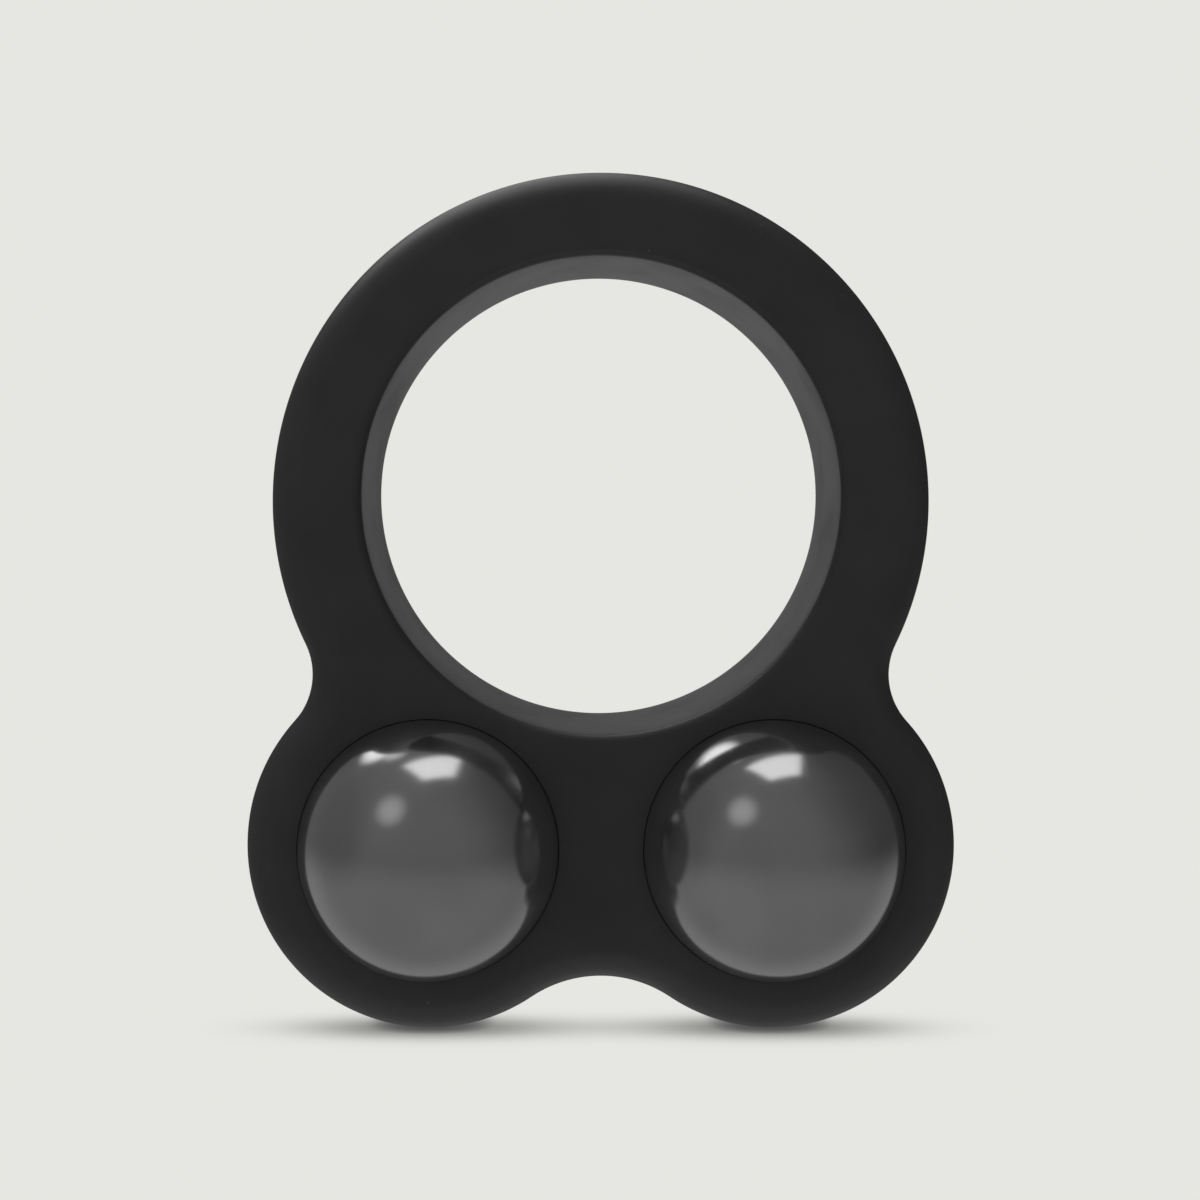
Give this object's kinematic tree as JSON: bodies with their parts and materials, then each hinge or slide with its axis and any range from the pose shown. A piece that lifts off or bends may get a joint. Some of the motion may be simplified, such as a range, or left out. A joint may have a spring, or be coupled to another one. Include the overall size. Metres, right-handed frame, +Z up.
{
  "type": "massage ball ring",
  "caption": "Soft silicone ring with rounded lobes under it, each holding a polished steel ball that rolls in a cup open at the front.",
  "frame": {"origin": "on the surface that the part stands on, under the centre of its bounding box", "axes": "+X across the part from the left ball to the right one, +Y from the front, where the balls stand out, to the flat back, +Z up"},
  "size_m": [0.0674, 0.0269, 0.0815],
  "materials": {
    "black_silicone": "matt",
    "polished_steel": "mirror polished"
  },
  "bodies": {
    "frame": {"silicone_frame": "black_silicone"},
    "left_ball": {"left_ball": "polished_steel"},
    "right_ball": {"right_ball": "polished_steel"}
  },
  "joints": [
    {"name": "left_ball_roll", "type": "hinge", "parent": "frame", "child": "left_ball", "pos_m": [-0.0162, -0.00095, 0.0175], "axis": [1, 0, 0], "continuous": true},
    {"name": "right_ball_roll", "type": "hinge", "parent": "frame", "child": "right_ball", "pos_m": [0.0162, -0.00095, 0.0175], "axis": [1, 0, 0], "continuous": true}
  ]
}
